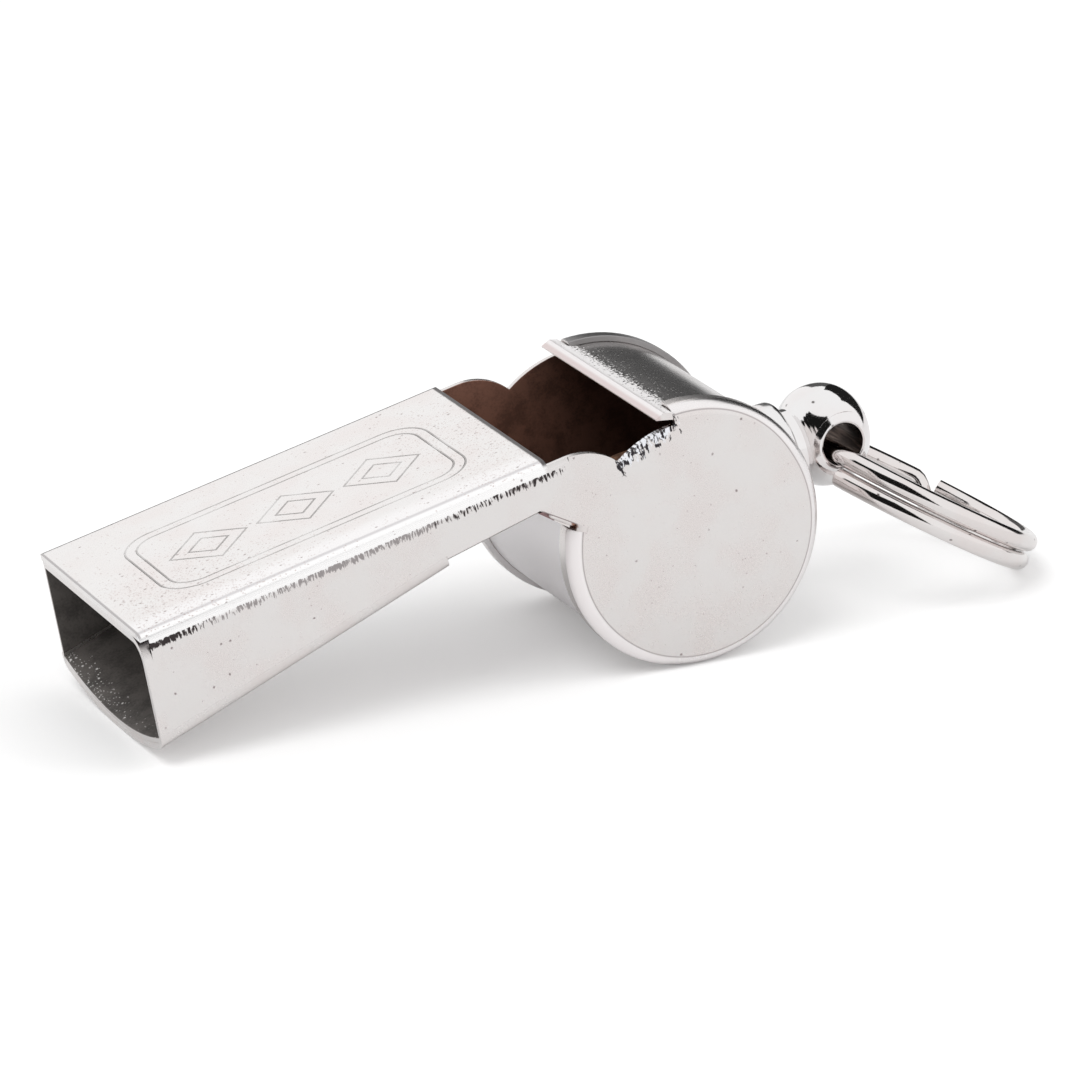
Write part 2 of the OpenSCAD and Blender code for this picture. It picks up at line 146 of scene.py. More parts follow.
class Tree:
    """Adds and joins the nodes of one node tree."""

    def __init__(self, tree):
        self.tree = tree

    def node(self, kind, *inputs, **settings):
        """Adds a node: inputs in their order, sockets by their names, other keywords as its settings."""
        made = self.tree.nodes.new(kind)
        named = settings.pop("sockets", {})
        for key, value in settings.items():
            setattr(made, key, value)
        for index, value in list(enumerate(inputs)) + list(named.items()):
            self.feed(made.inputs[index], value)
        return made

    def feed(self, socket, value):
        if isinstance(value, bpy.types.NodeSocket):
            self.tree.links.new(value, socket)
        elif value is not None:
            socket.default_value = value

    def math(self, operation, *inputs):
        return self.node("ShaderNodeMath", *inputs, operation=operation).outputs[0]

    def fold(self, operation, *values):
        """Joins any number of values by an operation that takes two."""
        total = values[0]
        for value in values[1:]:
            total = self.math(operation, total, value)
        return total

    def multiply(self, *values):
        return self.fold("MULTIPLY", *values)

    def add(self, *values):
        return self.fold("ADD", *values)

    def most(self, *values):
        return self.fold("MAXIMUM", *values)

    def hypot(self, one, other):
        return self.math("SQRT", self.add(self.multiply(one, one), self.multiply(other, other)))

    def vector(self, operation, *inputs):
        made = self.node("ShaderNodeVectorMath", *inputs, operation=operation)
        return made.outputs["Value" if operation == "LENGTH" else "Vector"]

    def noise(self, point, output="Fac", **sockets):
        return self.node("ShaderNodeTexNoise", point, sockets=sockets).outputs[output]

    def ramp(self, value, low, high):
        """0 below low to 1 above high, smoothly; high may be the lower of the two."""
        made = self.node("ShaderNodeMapRange", interpolation_type="SMOOTHSTEP", clamp=True)
        self.feed(made.inputs["Value"], value)
        made.inputs["From Min"].default_value = low
        made.inputs["From Max"].default_value = high
        return made.outputs[0]

    def mix(self, factor, one, other):
        made = self.node("ShaderNodeMix", data_type="RGBA", clamp_factor=True)
        self.feed(made.inputs["Factor"], factor)
        self.feed(made.inputs["A"], one)
        self.feed(made.inputs["B"], other)
        return made.outputs["Result"]

    def blend(self, factor, one, other):
        """As mix, for plain values."""
        made = self.node("ShaderNodeMix", data_type="FLOAT", clamp_factor=True)
        self.feed(made.inputs["Factor"], factor)
        self.feed(made.inputs["A"], one)
        self.feed(made.inputs["B"], other)
        return made.outputs["Result"]

    def show(self, shader, output="ShaderNodeOutputMaterial"):
        """Joins a shader to the tree's output."""
        self.feed(self.node(output).inputs["Surface"], shader.outputs[0])


def shader_tree(data):
    """Empties the nodes of a material or a world and returns them as a Tree."""
    data.use_nodes = True
    data.node_tree.nodes.clear()
    return Tree(data.node_tree)


def group(name, takes, gives, fill):
    """The shader node group of that name; its first use makes its sockets and calls fill for its nodes."""
    if name not in bpy.data.node_groups:
        made = bpy.data.node_groups.new(name, "ShaderNodeTree")
        for way, sockets in (("INPUT", takes), ("OUTPUT", gives)):
            for socket, kind in sockets.items():
                made.interface.new_socket(socket, in_out=way, socket_type="NodeSocket" + kind)
        tree = Tree(made)
        results = fill(tree, *tree.node("NodeGroupInput").outputs[:len(takes)])
        out = tree.node("NodeGroupOutput")
        for index, value in enumerate(results):
            tree.feed(out.inputs[index], value)
    return bpy.data.node_groups[name]


def colour(value):
    return (value[0], value[1], value[2], 1)


def level_place():
    """Group: a point of the object in millimetres, in the level whistle's own directions."""
    def fill(tree):
        here = tree.node("ShaderNodeTexCoord").outputs["Object"]
        level = tree.node("ShaderNodeMapping", here, tuple(BARREL), (0, -sizes().tilt, 0), (MM, MM, MM),
                          vector_type="TEXTURE").outputs[0]
        x, _, z = tree.node("ShaderNodeSeparateXYZ", level).outputs
        return level, tree.hypot(x, z)

    return group("level_place", {}, {"Point": "Vector", "Round": "Float"}, fill)


def pits():
    """Group: round pits of one size, over the share of the surface that Amount gives."""
    def fill(tree, point, scale, amount):
        warp = tree.noise(point, "Color", Scale=5, Detail=2)
        warped = tree.vector("ADD", point, tree.vector("MULTIPLY", warp, (0.12, 0.12, 0.12)))
        cells = tree.node("ShaderNodeTexVoronoi", warped, sockets={"Scale": scale})
        chance = tree.node("ShaderNodeSeparateColor", cells.outputs["Color"]).outputs[0]
        there = tree.math("LESS_THAN", chance, amount)
        hollow = tree.ramp(cells.outputs["Distance"], 0.42, 0.12)
        return [tree.multiply(hollow, there)]

    return group("plating_pits", {"Point": "Vector", "Scale": "Float", "Amount": "Float"},
                 {"Mask": "Float"}, fill)


def frosting():
    """Group: ragged frosted streaks across an edge, thinning out as Amount falls."""
    def fill(tree, point, stretch, amount):
        streaks = tree.noise(tree.vector("MULTIPLY", point, stretch), Scale=1, Detail=2.5, Roughness=0.55)
        level = tree.add(streaks, tree.multiply(amount, 0.3))
        return [tree.ramp(level, 0.68, 0.76)]

    return group("frosted_edge", {"Point": "Vector", "Stretch": "Vector", "Amount": "Float"},
                 {"Mask": "Float"}, fill)


def tarnish():
    """Group: mottled brown tarnish of the bare metal, darker in patches."""
    def fill(tree, point, brown, dark):
        clouds = tree.noise(point, Scale=0.45, Detail=5, Roughness=0.65)
        grains = tree.noise(point, Scale=6, Detail=3)
        patches = tree.ramp(tree.add(clouds, tree.multiply(grains, 0.35)), 0.55, 0.85)
        return tree.mix(patches, brown, dark), tree.math("MULTIPLY_ADD", grains, 0.3, 0.3)

    return group("tarnish", {"Point": "Vector", "Brown": "Color", "Dark": "Color"},
                 {"Color": "Color", "Roughness": "Float"}, fill)


def cartouche():
    """Group: thin engraved lines, a long frame with round corners and lozenges in a row."""
    middle, spacing, line_width = 24.0, 6.6, 0.095

    def fill(tree, point, lozenges):
        x, y, _ = tree.node("ShaderNodeSeparateXYZ", point).outputs
        from_middle = tree.add(x, middle)
        along, across = tree.math("ABSOLUTE", from_middle), tree.math("ABSOLUTE", y)

        def frame_line(half_length, half_width, corner):
            px = tree.most(tree.math("SUBTRACT", along, half_length - corner), 0.0)
            py = tree.most(tree.math("SUBTRACT", across, half_width - corner), 0.0)
            return tree.math("ABSOLUTE", tree.math("SUBTRACT", tree.hypot(px, py), corner))

        half = tree.multiply(tree.math("SUBTRACT", lozenges, 1.0), 0.5)
        near = tree.math("ROUND", tree.add(tree.math("DIVIDE", from_middle, spacing), half))
        near = tree.most(tree.math("MINIMUM", near, tree.multiply(half, 2.0)), 0.0)
        centre = tree.multiply(tree.math("SUBTRACT", near, half), spacing)
        from_centre = tree.math("ABSOLUTE", tree.math("SUBTRACT", from_middle, centre))
        slanted = tree.add(from_centre, tree.multiply(across, 1.1))
        lines = [frame_line(11.5, 5.6, 2.6), frame_line(10.7, 4.8, 1.9)]
        thinner = 0.67  # brings the slanted lines to the width of the straight ones
        for reach in (2.9, 1.5):
            lozenge = tree.math("ABSOLUTE", tree.math("SUBTRACT", slanted, reach))
            lines.append(tree.multiply(lozenge, thinner))
        return [tree.ramp(tree.fold("MINIMUM", *lines), line_width, 0.035)]

    return group("engraved_cartouche", {"Point": "Vector", "Lozenges": "Float"}, {"Mask": "Float"}, fill)


# ---------------------------------------------------------------- materials

class Metal:
    """Starts a plated material on the level whistle's coordinates; parts are laid over it in turn."""

    def __init__(self, name, base, roughness, metallic=1.0):
        self.material = bpy.data.materials.new(name)
        self.t = t = shader_tree(self.material)
        self.point, self.round = t.node("ShaderNodeGroup", node_tree=level_place()).outputs
        self.x, self.y, self.z = t.node("ShaderNodeSeparateXYZ", self.point).outputs
        normal = t.node("ShaderNodeTexCoord").outputs["Normal"]
        self.nx, self.ny, self.nz = t.node("ShaderNodeSeparateXYZ", normal).outputs
        self.cloud = t.noise(self.point, Scale=0.35, Detail=4)
        self.grain = t.noise(self.point, Scale=9, Detail=3)
        pinker = colour((base[0] * 0.985, base[1] * 0.955, base[2] * 0.95))
        self.colour = t.mix(t.ramp(self.cloud, 0.35, 0.7), colour(base), pinker)
        self.roughness = t.add(t.math("MULTIPLY_ADD", self.grain, 0.06, roughness - 0.03),
                               t.multiply(self.cloud, 0.05))
        self.metallic = metallic
        self.height = t.multiply(self.grain, 0.012)

    def lay(self, mask, over, roughness=None, height=None, metallic=None):
        """Lays a colour over the material where the mask is 1, and other values where they are given."""
        t = self.t
        self.colour = t.mix(mask, self.colour, over)
        if roughness is not None:
            self.roughness = t.blend(mask, self.roughness, roughness)
        if metallic is not None:
            self.metallic = t.blend(mask, self.metallic, metallic)
        if height is not None:
            self.height = t.add(self.height, t.multiply(mask, height))

    def pit(self, scale, amount, depth=0.06, tone=None, stretch=(1, 1, 1)):
        """Lays pits over the share of the surface that amount gives, smaller at a larger scale."""
        t = self.t
        made = t.node("ShaderNodeGroup", t.vector("MULTIPLY", self.point, stretch), scale,
                      t.multiply(amount, finish().wear), node_tree=pits())
        self.lay(made.outputs["Mask"], colour(tone or finish().pit), 0.4, -depth)

    def frost(self, stretch, amount, depth, tone, metallic=None):
        """Lays ragged streaks that thin out as amount falls, raised where depth is below 0."""
        t = self.t
        made = t.node("ShaderNodeGroup", self.point, stretch, t.multiply(amount, finish().wear),
                      node_tree=frosting())
        mask = t.multiply(made.outputs["Mask"], t.ramp(amount, 0.05, 0.25))
        self.lay(mask, colour(tone), 0.5, -depth, metallic)

    def inside(self, mask):
        """Bare metal inside: grey at the mouth, brown at the throat, darker down in the barrel."""
        t = self.t
        brown, grey = finish().tarnish, finish().windway
        deep = t.mix(t.ramp(self.x, -8.0, 2.0), colour(brown), colour([c * 0.42 for c in brown]))
        tone = t.mix(t.ramp(self.x, -16.0, -27.0), deep, colour(grey))
        dark = t.mix(0.45, tone, (0, 0, 0, 1))
        made = t.node("ShaderNodeGroup", self.point, tone, dark, node_tree=tarnish())
        self.colour = t.mix(mask, self.colour, made.outputs["Color"])
        self.roughness = t.blend(mask, self.roughness, made.outputs["Roughness"])
        self.metallic = t.blend(mask, self.metallic, 0.35)

    def ripple(self, scale, detail, height):
        """Waves that bend what the polished metal mirrors."""
        waves = self.t.noise(self.point, Scale=scale, Detail=detail)
        self.height = self.t.add(self.height, self.t.multiply(waves, height))

    def done(self, distance=0.05):
        """Joins all that was laid to the output; distance is the relief's, in millimetres."""
        t = self.t
        bump = t.node("ShaderNodeBump", sockets={
            "Strength": 1.0, "Distance": distance * MM, "Height": self.height})
        t.show(t.node("ShaderNodeBsdfPrincipled", sockets={
            "Base Color": self.colour, "Metallic": self.metallic, "Roughness": self.roughness,
            "Normal": bump.outputs[0]}))
        return self.material


def from_mouth(m):
    """X less the mouth's rake, so that the whole end is at MOUTH_X."""
    return m.t.add(m.x, m.t.multiply(m.z, -MOUTH_RAKE))


def paint_near_edge_highlight(m):
    """Lays a painted highlight on the rounded near edge up to the window and a painted sheen on the flat
    beside it, with a faint line along it.
    """
    t = m.t
    before = t.ramp(m.x, -9.0, -9.4)
    over = t.multiply(t.ramp(m.y, -8.7, -8.9), t.ramp(m.z, 8.5, 8.75), before)
    soft = t.multiply(t.ramp(m.y, -6.4, -7.9), t.ramp(m.nz, 0.7, 0.9), before)
    # Painted sheen on the flat, then a painted highlight on the rounding
    m.lay(soft, colour((0.94, 0.92, 0.92)))
    m.lay(over, colour((1.0, 0.99, 0.99)), 0.22)
    line = t.multiply(t.ramp(m.y, -8.6, -8.82), t.ramp(m.y, -9.1, -8.9), t.ramp(m.z, 9.1, 9.2), before)
    m.lay(line, colour((0.70, 0.68, 0.69)))


def cover_material():
    m = Metal("nickel_cover", finish().cover, 0.20, 0.7)
    t = m.t
    paint_near_edge_highlight(m)
    up = t.ramp(m.nz, 0.5, 0.8)

    # Fine stipple, densest at the mouth's near corner and beside the window
    near_mouth = t.multiply(t.ramp(m.x, -22.0, -36.0), t.ramp(m.y, 4.0, -5.0), t.ramp(m.x, -39.6, -38.6))
    by_window = t.multiply(t.ramp(m.x, -19.0, -11.0), t.ramp(m.y, 9.0, 2.0))
    stipple = t.multiply(t.add(t.multiply(near_mouth, 0.55), t.multiply(by_window, 0.35), 0.05), up)
    m.pit(6.0, t.multiply(stipple, 1.5), 0.03, (0.64, 0.55, 0.53), (0.8, 1, 1))
    m.pit(3.4, t.multiply(stipple, 0.25), 0.03, (0.44, 0.38, 0.37), (0.8, 1, 1))

    # The engraved lines, fainter in places
    lines = t.node("ShaderNodeGroup", m.point, finish().engraving, node_tree=cartouche()).outputs["Mask"]
    struck = t.multiply(lines, up, t.math("MULTIPLY_ADD", t.ramp(m.cloud, 0.35, 0.6), 0.6, 0.4))
    m.lay(struck, colour((0.42, 0.40, 0.39)), 0.35, -0.8)

    # Painted shade: dark lines along the window's edge, the far edge and the mouth
    ragged = t.math("MULTIPLY_ADD", m.grain, 0.12, -0.06)
    for place_across, light, dark, tone in (
            (t.add(m.x, ragged), -9.36, -9.22, (0.13, 0.12, 0.12)),
            (t.add(m.y, ragged), 9.32, 9.42, (0.16, 0.15, 0.15)),
            (from_mouth(m), -40.19, -40.27, (0.5, 0.48, 0.48))):
        m.lay(t.multiply(t.ramp(place_across, light, dark), up), colour(tone), 0.4)
    return m.done()


def rim_line(m, side):
    """Lays painted shade along the thin crease all round the disc, and a painted highlight on the rim beyond
    it, lighter still low down.
    """
    t = m.t
    at = t.add(8.68, t.multiply(t.ramp(m.z, 2.0, 8.0), 0.28), t.multiply(t.ramp(m.x, -4.5, -7.8), -0.10))
    beyond_by = t.math("SUBTRACT", m.round, at)
    wall = t.multiply(t.ramp(m.x, 0.5, -0.5), t.ramp(m.z, 3.6, 4.2))
    outer = t.ramp(t.multiply(m.ny, side), 0.1, 0.3)
    free = t.multiply(outer, t.math("SUBTRACT", 1.0, wall), t.ramp(m.x, -10.6, -10.2))
    beyond = t.multiply(t.ramp(beyond_by, 0.0, 0.15), free)
    # Painted highlight on the rim
    m.lay(beyond, colour((0.90, 0.87, 0.87)))
    # Painted light low on the rim, in place of the floor's shadow that it mirrors
    low = t.multiply(beyond, t.ramp(m.x, -3.0, -6.0), t.ramp(m.z, 5.0, 4.0))
    m.lay(low, colour((0.95, 0.91, 0.91)), 0.45, None, 0.25)
    # Painted shade along the crease
    crease = t.ramp(t.math("ABSOLUTE", beyond_by), 0.07, 0.02)
    m.lay(t.multiply(crease, free), colour((0.52, 0.48, 0.48)), 0.35, -0.2)


def within_barrel(m):
    """1 inside the barrel and along the mouthpiece, 0 on the flanges that stand out round the band."""
    t = m.t
    return t.most(t.ramp(m.round, 9.1, 9.0), t.ramp(m.z, 4.6, 5.0), t.ramp(m.x, -10.6, -11.0))


def past_throat(m):
    """Millimetres from the walls' slanted lower edge at the throat, more than 0 on the inner side."""
    t = m.t
    return t.add(t.multiply(t.add(m.x, 10.4), 0.662), t.multiply(t.math("SUBTRACT", m.z, 6.38), 0.749))


def near_material():
    m = Metal("nickel_near_side", finish().plate, 0.24)
    t = m.t
    paint_near_edge_highlight(m)

    # Worn ticks under the rounded edge: grey in patches all along, black towards the mouth and the window
    ticks = (9.0, 1.0, 1.8)
    strip = t.multiply(t.ramp(m.z, 8.0, 8.5), t.ramp(m.z, 8.8, 8.7), t.ramp(m.y, -9.2, -9.35))
    to_window = t.ramp(m.x, -7.6, -8.4)
    patchy = t.math("MULTIPLY_ADD", t.ramp(m.cloud, 0.3, 0.65), 0.35, 0.5)
    m.frost(ticks, t.multiply(strip, patchy, to_window, 1.2), 0.04, (0.40, 0.37, 0.37))
    ends = t.most(t.ramp(m.x, -33.0, -38.0), t.multiply(t.ramp(m.x, -22.0, -13.0), to_window, 0.55))
    m.frost(ticks, t.multiply(strip, ends, 1.25), 0.05, (0.06, 0.05, 0.05))

    # Black scratches on the disc where the window reaches down beside it, with painted white glints among
    # them
    beside = t.multiply(t.ramp(m.round, 6.9, 8.3), t.ramp(m.x, 1.8, -0.6), t.ramp(m.x, -4.7, -3.6),
                        t.ramp(m.z, 5.0, 6.5), t.ramp(m.y, -8.7, -9.2))
    m.frost((4.6, 1.0, 1.8), t.multiply(beside, 1.15), 0.05, (0.05, 0.045, 0.05))
    m.frost((5.5, 1.0, 2.4), t.multiply(beside, 0.8), 0.05, (0.95, 0.96, 1.0))

    # Dark pits, most of them at the mouth, and faint ones in patches
    face = t.ramp(m.y, -9.2, -9.4)
    stained = t.multiply(t.ramp(m.cloud, 0.5, 0.75), face)
    at_mouth = t.multiply(t.ramp(m.x, -31.0, -39.0), 0.03)
    m.pit(3.0, t.multiply(t.add(0.004, at_mouth), face), 0.03, (0.34, 0.29, 0.29))
    m.pit(5.0, t.multiply(stained, 0.12), 0.02, (0.58, 0.52, 0.52))
    rim_line(m, -1)

    # Bare metal on the inner wall and on the windway's ceiling
    wall = t.multiply(t.ramp(m.ny, 0.4, 0.7), t.ramp(m.y, -8.8, -9.0), within_barrel(m))
    ceiling = t.multiply(t.most(t.ramp(m.ny, 0.2, 0.4), t.ramp(m.nz, -0.2, -0.4)), t.ramp(m.x, -8.8, -9.1),
                         t.ramp(m.z, 9.0, 8.9), t.ramp(m.z, 6.0, 6.6), t.ramp(m.y, -9.2, -9.0))
    m.inside(t.most(wall, ceiling))

    # Painted shade in the open corner at the mouth, between the top plate and the bend
    from_bend = t.vector("ADD", m.point, (0, -BEND_Y, -BEND_Z))
    from_bend = t.vector("LENGTH", t.vector("MULTIPLY", from_bend, (0, 1, 1)))
    open_corner_shade = t.multiply(t.ramp(from_bend, BEND_R, BEND_R - 0.1), t.ramp(m.nz, 0.55, 0.8),
                             t.ramp(m.z, 9.04, 9.0), t.ramp(m.x, -37.5, -38.0))
    m.lay(open_corner_shade, colour((0.03, 0.02, 0.02)), 0.6, None, 0.3)

    # Painted shade along the slanted lower edge at the throat, and on the bend's end at the window
    slant = t.multiply(t.ramp(past_throat(m), 0.1, 0.03), t.ramp(m.x, -10.4, -10.1), t.ramp(m.x, -7.6, -8.0),
                       t.ramp(m.z, 4.2, 4.5), face)
    m.lay(slant, colour((0.30, 0.25, 0.25)))
    bend_end_shade = t.multiply(t.ramp(m.nx, 0.5, 0.8), t.ramp(m.z, 8.2, 8.6), t.ramp(m.y, -8.9, -8.5),
                          t.ramp(m.x, -9.3, -9.1))
    m.lay(bend_end_shade, colour((0.14, 0.11, 0.10)), 0.4)
    return m.done()


def far_material():
    m = Metal("nickel_far_side", finish().plate, 0.24)
    t = m.t
    face = t.ramp(m.y, 9.2, 9.4)
    patches = t.multiply(t.ramp(m.cloud, 0.5, 0.7), 0.03)
    m.pit(3.0, t.multiply(t.add(0.010, patches), face), 0.03, (0.34, 0.29, 0.29))
    rim_line(m, 1)

    # Painted reflection: the rim's top is painted dark like the barrel's mirrored top, and its flange under
    # the mouthpiece is painted light
    top = t.multiply(t.most(t.ramp(m.nz, 0.2, 0.4), t.ramp(m.ny, -0.3, -0.6)), t.ramp(m.z, 2.0, 5.0),
                     t.ramp(m.x, -1.5, -0.5), t.ramp(m.y, 9.35, 9.2))
    m.lay(t.multiply(top, t.ramp(m.round, 9.02, 9.08)), colour((0.34, 0.33, 0.33)), 0.3)
    m.inside(t.multiply(t.ramp(m.ny, -0.4, -0.7), t.ramp(m.y, 8.8, 9.0), within_barrel(m)))
    flange = t.multiply(t.ramp(m.ny, 0.2, -0.2), t.ramp(m.round, 9.05, 9.15), t.ramp(m.x, -5.0, -7.0),
                        t.ramp(m.z, 5.0, 4.6), t.ramp(m.x, -10.6, -10.2))
    m.lay(flange, colour((0.95, 0.93, 0.93)), 0.5, None, 0.2)
    return m.done()


def band_material():
    m = Metal("nickel_barrel", finish().plate, 0.17)
    t = m.t

    # On top: a painted dark reflection beyond the lip, with light specks that thin out, and the lip's pale
    # bevel
    over = t.multiply(t.ramp(m.z, 7.5, 8.2), t.ramp(m.nz, 0.6, 0.8))
    specks = t.multiply(over, t.ramp(m.x, 2.1, 0.1), t.ramp(m.x, -0.3, 0.1))
    m.pit(4.0, t.multiply(over, t.ramp(m.x, 6.0, 0.5), 0.35), 0.05, (0.25, 0.22, 0.22))
    # Painted dark reflection on the barrel's top beyond the lip
    m.lay(t.multiply(over, t.ramp(m.x, -0.2, 0.9)), colour([c * 0.72 for c in finish().plate]))
    m.frost((5.2, 4.6, 1.0), t.multiply(specks, 1.3), -0.1, (0.90, 0.88, 0.88), 0.1)
    m.lay(t.multiply(over, t.ramp(m.x, 0.25, 0.0)), colour((0.90, 0.87, 0.87)), 0.35, 0.0, 0.4)
    # Painted shade on the lip's tip, and on its front face, darker towards the bottom
    lip_tip_shade = t.multiply(t.ramp(m.z, 7.5, 8.2), t.ramp(m.x, -0.2, -0.45))
    m.lay(lip_tip_shade, colour((0.72, 0.62, 0.61)), 0.35)
    lip_front_shade = t.multiply(t.ramp(m.nx, -0.5, -0.8), t.ramp(m.z, 7.0, 7.6))
    lip_shade_tone = t.mix(t.ramp(m.z, 8.7, 9.3), (0.50, 0.43, 0.42, 1), (0.86, 0.80, 0.79, 1))
    m.lay(lip_front_shade, lip_shade_tone, 0.4, None, 0.5)

    # Below: painted light under the mouthpiece in place of the floor's shadow that it mirrors, bare metal
    # inside and on the back and the end of the leg
    below = t.multiply(t.ramp(m.round, 8.9, 9.0), t.ramp(m.x, -4.5, -8.5), t.ramp(m.z, 6.0, 5.0),
                       t.ramp(m.nx, 0.0, -0.2))
    m.lay(below, colour((0.92, 0.90, 0.91)), 0.35, None, 0.35)
    leg = t.multiply(t.most(t.ramp(m.nx, 0.2, 0.4), t.ramp(m.nz, 0.5, 0.7)), t.ramp(m.x, -7.6, -8.0),
                     t.ramp(m.z, 3.0, 3.6))
    m.inside(t.most(t.multiply(t.ramp(m.round, 8.95, 8.7), t.ramp(m.z, 8.7, 8.4)), leg))
    marks = t.multiply(t.ramp(m.x, -9.0, -9.6), t.ramp(m.y, -7.2, -8.2), t.ramp(m.z, 3.4, 4.6))
    m.frost((1.0, 3.4, 0.6), t.multiply(marks, 1.15), 0.02, (0.30, 0.20, 0.20))
    return m.done()


def floor_material():
    m = Metal("nickel_windway_floor", finish().plate, 0.28)
    t = m.t
    up = t.ramp(m.nz, 0.25, 0.5)
    back_edge = t.multiply(t.ramp(m.nx, 0.5, 0.8), t.ramp(m.x, -30.0, -25.0))
    m.inside(t.most(up, back_edge))

    # Light specks at the mouth, more of them on the far side
    at_mouth = t.ramp(from_mouth(m), -38.6, -40.2)
    speckled = t.multiply(up, at_mouth, t.math("MULTIPLY_ADD", t.ramp(m.y, -2.0, 6.0), 0.5, 0.1))
    m.pit(3.0, t.multiply(speckled, 0.6), -0.1, (0.95, 0.92, 0.90))
    m.pit(6.0, speckled, -0.1, (0.9, 0.87, 0.85))
    return m.done()


def shoe_material():
    m = Metal("nickel_shoe", finish().plate, 0.26)
    t = m.t
    m.pit(1.8, t.add(0.01, t.multiply(t.ramp(m.cloud, 0.5, 0.7), 0.03)), 0.03, (0.30, 0.27, 0.27))
    return m.done()


def stud_material():
    m = Metal("polished_stud", finish().stud, 0.06)
    t = m.t
    m.ripple(2.2, 4, 0.5)
    m.pit(2.4, 0.02, 0.02)

    # The cross hole's wall, dark and scratched along
    spot = t.node("ShaderNodeTexCoord").outputs["Object"]
    from_axis = t.vector("MULTIPLY", t.vector("SUBTRACT", spot, tuple(HOLE)), (1 / MM, 0, 1 / MM))
    bore = t.ramp(t.vector("LENGTH", from_axis), 1.56, 1.5)
    scratches = t.noise(t.vector("MULTIPLY", m.point, (5, 0.5, 5)), Scale=1, Detail=3)
    m.lay(bore, t.mix(t.ramp(scratches, 0.4, 0.65), (0.05, 0.036, 0.03, 1), (0.16, 0.12, 0.10, 1)), 0.35)
    return m.done(0.012)


def collar_material():
    m = Metal("turned_collar", finish().stud, 0.16)
    m.pit(2.0, 0.02, 0.02)
    return m.done(0.03)


def wire_material():
    m = Metal("ring_wire", finish().wire, 0.08)
    m.ripple(1.5, 3, 0.4)
    m.pit(2.6, 0.03, 0.02)
    return m.done(0.012)


def solder_material():
    m = Metal("solder", finish().plate, 0.26)
    t = m.t
    m.pit(3.0, 0.06, 0.03, (0.4, 0.35, 0.35))

    # Bare metal on the seam's inner side, inside the walls' inner faces and on all that faces up
    seam = t.multiply(t.most(t.ramp(past_throat(m), 0.0, 0.08), t.ramp(m.x, -8.5, -8.35)),
                      t.ramp(m.x, -7.95, -8.1), t.ramp(m.z, 4.0, 4.1))
    m.inside(t.most(seam, t.ramp(t.math("ABSOLUTE", m.y), 9.12, 9.06), t.ramp(m.nz, 0.6, 0.8)))
    return m.done()


def cork_material():
    made = bpy.data.materials.new("cork")
    t = shader_tree(made)
    point = t.node("ShaderNodeGroup", node_tree=level_place()).outputs["Point"]
    grains = t.node("ShaderNodeTexVoronoi", point, sockets={"Scale": 1.1, "Randomness": 1.0})
    clouds = t.noise(point, Scale=0.8, Detail=5)
    cork = finish().cork
    base = t.mix(t.ramp(clouds, 0.35, 0.7), colour(cork), colour([c * 0.55 for c in cork]))
    seams = t.ramp(grains.outputs["Distance"], 0.35, 0.75)
    tone = t.mix(seams, base, colour([c * 0.3 for c in cork]))
    bump = t.node("ShaderNodeBump", sockets={
        "Strength": 1.0, "Distance": 0.12 * MM,
        "Height": t.add(t.multiply(seams, -0.7), t.multiply(clouds, 0.6))})
    t.show(t.node("ShaderNodeBsdfPrincipled", sockets={
        "Base Color": tone, "Roughness": 0.8, "Normal": bump.outputs[0]}))
    return made


# ---------------------------------------------------------------- mesh helpers

def linked(name, data):
    """Puts a mesh, a curve, a light or a camera into the scene as an object."""
    made = bpy.data.objects.new(name, data)
    bpy.context.scene.collection.objects.link(made)
    return made


def mesh_of(name, bm):
    """Turns a bmesh into a mesh and frees it."""
    mesh = bpy.data.meshes.new(name)
    bm.to_mesh(mesh)
    bm.free()
    return mesh


def shape_of(made):
    """A bmesh of an object as its modifiers or its curve's depth shape it."""
    bpy.context.view_layer.update()
    evaluated = made.evaluated_get(bpy.context.evaluated_depsgraph_get())
    bm = bmesh.new()
    bm.from_mesh(evaluated.to_mesh())
    evaluated.to_mesh_clear()
    return bm


def finished(name, bm, material, sharp=SHARP):
    """Makes a bmesh an object at the origin, smooth but for its sharp edges."""
    bmesh.ops.recalc_face_normals(bm, faces=bm.faces)
    for face in bm.faces:
        face.smooth = True
    for edge in bm.edges:
        edge.smooth = edge.calc_face_angle(0) < sharp
    mesh = mesh_of(name, bm)
    # Normals and flat faces left over from the CAD mesh would override the smoothing
    for left_over in ("custom_normal", "sharp_face"):
        if left_over in mesh.attributes:
            mesh.attributes.remove(mesh.attributes[left_over])
    made = linked(name, mesh)
    mesh.materials.append(material)
    return made


def at_front(point):
    """True on the mouth's raked end, for a point in the level whistle's millimetres."""
    return abs(point.x - MOUTH_RAKE * point.z - MOUTH_X) < 0.05


def sheet_piece(node, material, body="whistle", plain=None, round_front=None):
    """A merged copy of a CAD node with soft edges; edges for which plain() is true stay as they are."""
    bm = bmesh.new()
    bm.from_mesh(frame["nodes"][node].data)
    bmesh.ops.remove_doubles(bm, verts=bm.verts, dist=1e-6)
    bmesh.ops.dissolve_limit(bm, angle_limit=math.radians(0.3), verts=bm.verts, edges=bm.edges)
    weight = bm.edges.layers.float.new("bevel_weight_edge")
    level = place().inverted()
    for edge in bm.edges:
        if edge.calc_face_angle(0) > SHARP:
            middle = level @ ((edge.verts[0].co + edge.verts[1].co) / 2) / MM
            soft = sizes().edge / sizes().front_edge
            if round_front and round_front(middle):
                soft = 1.0
            edge[weight] = 0.0 if plain and plain(middle) else soft
    made = finished(node + "_sheet", bm, material)
    bevel = made.modifiers.new("soft edges", "BEVEL")
    bevel.width = sizes().front_edge
    bevel.segments = 3
    bevel.limit_method = "WEIGHT"
    bevel.harden_normals = True
    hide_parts(node)
    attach(made, body)


